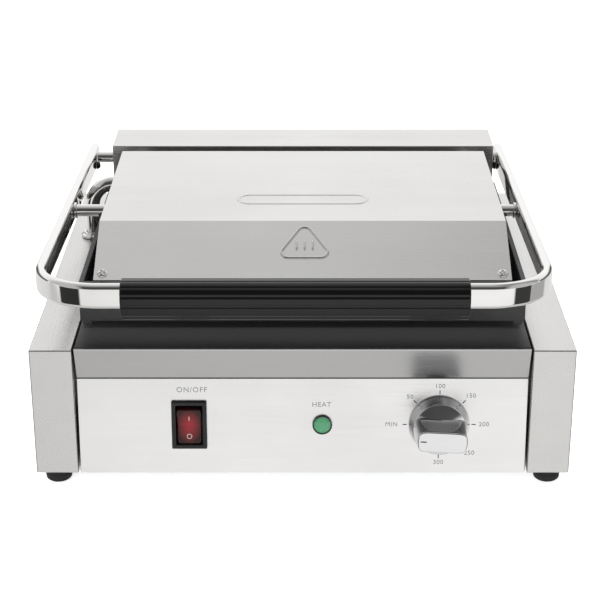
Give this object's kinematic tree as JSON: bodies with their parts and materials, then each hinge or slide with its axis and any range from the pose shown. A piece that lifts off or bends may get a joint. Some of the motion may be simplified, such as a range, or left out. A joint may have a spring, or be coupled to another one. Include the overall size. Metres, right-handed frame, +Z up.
{
  "type": "panini press",
  "caption": "Electric contact grill: steel base with side pods, smooth lower plate, ribbed upper plate under a floating cover on a counterbalanced handle frame.",
  "frame": {"origin": "centre of the footprint of the whole object, on the surface it stands on", "axes": "+X to the right seen from the front, +Y to the rear, +Z up"},
  "size_m": [0.41, 0.4034, 0.1845],
  "materials": {
    "brushed_steel": "brushed stainless sheet",
    "polished_steel": "polished stainless steel",
    "tray_steel": "bright annealed stainless sheet",
    "cast_iron": "seasoned dark cast iron",
    "galvanised": "galvanised sheet",
    "black_plastic": "black moulded phenolic",
    "grip_black": "black ribbed sleeve, satin gloss",
    "rubber": "black rubber",
    "red_lens": "translucent red polycarbonate",
    "green_lens": "translucent green polycarbonate",
    "knob_silver": "metallised silver plastic",
    "heater": "heat-stained tube",
    "spring_steel": "oiled spring steel",
    "mineral_wool": "pressed mineral wool",
    "ceramic": "unglazed ceramic",
    "copper": "drawn copper"
  },
  "bodies": {
    "base": {"side_pod_left": "brushed_steel", "side_pod_right": "brushed_steel", "front_panel": "brushed_steel", "back_panel": "brushed_steel", "rear_housing": "brushed_steel", "rear_splash_strip": "brushed_steel", "conduit": "polished_steel", "conduit_flange": "polished_steel", "lower_plate": "cast_iron", "base_pan": "galvanised", "heat_shield": "galvanised", "hinge_bracket_left": "galvanised", "hinge_bracket_right": "galvanised", "switch_housing": "black_plastic", "lamp_bezel": "black_plastic", "cable_gland": "black_plastic", "hinge_bush_left": "black_plastic", "hinge_bush_right": "black_plastic", "foot_front_left": "rubber", "foot_front_right": "rubber", "foot_rear_left": "rubber", "foot_rear_right": "rubber", "lamp_lens": "green_lens", "lower_heater": "heater", "balance_spring_left": "spring_steel", "balance_spring_right": "spring_steel", "thermostat_body": "ceramic", "terminal_block": "ceramic", "thermostat_bulb": "copper"},
    "handle_frame": {"handle_bar": "polished_steel", "handle_grip": "grip_black", "cross_rod": "polished_steel", "hinge_shaft": "polished_steel", "arm_screw_left": "black_plastic", "arm_screw_right": "black_plastic", "rod_collar_left": "polished_steel", "rod_collar_right": "polished_steel"},
    "lid": {"lid_cover": "brushed_steel", "upper_plate": "cast_iron", "upper_heater": "heater", "lid_insulation": "mineral_wool", "lid_bush_left": "black_plastic", "lid_bush_right": "black_plastic", "lid_screw_front_left": "polished_steel", "lid_screw_front_right": "polished_steel", "lid_screw_rear_left": "polished_steel", "lid_screw_rear_right": "polished_steel", "conduit_ferrule": "polished_steel"},
    "knob": {"thermostat_knob": "knob_silver", "thermostat_stem": "galvanised"},
    "rocker": {"switch_rocker": "red_lens"},
    "tray": {"drip_tray": "tray_steel"}
  },
  "joints": [
    {"name": "lift_hinge", "type": "hinge", "parent": "base", "child": "handle_frame", "pos_m": [0, 0.1765, 0.1565], "axis": [-1, 0, 0], "range_deg": [0, 50], "deforming": ["conduit", "balance_spring_left", "balance_spring_right"]},
    {"name": "lid_tilt", "type": "hinge", "parent": "handle_frame", "child": "lid", "pos_m": [0, 0.0095, 0.165], "axis": [-1, 0, 0], "range_deg": [-1.2, 2.5], "deforming": ["conduit"]},
    {"name": "knob_turn", "type": "hinge", "parent": "base", "child": "knob", "pos_m": [0.1042, -0.15764, 0.05216], "axis": [0, 0.9965, -0.0839], "range_deg": [0, 270]},
    {"name": "rocker_tilt", "type": "hinge", "parent": "base", "child": "rocker", "pos_m": [-0.0865, -0.15167, 0.05166], "axis": [-1, 0, 0], "range_deg": [0, 13.5]},
    {"name": "tray_slide", "type": "slide", "parent": "base", "child": "tray", "axis": [0, -1, 0], "range_m": [0, 0.06]}
  ]
}
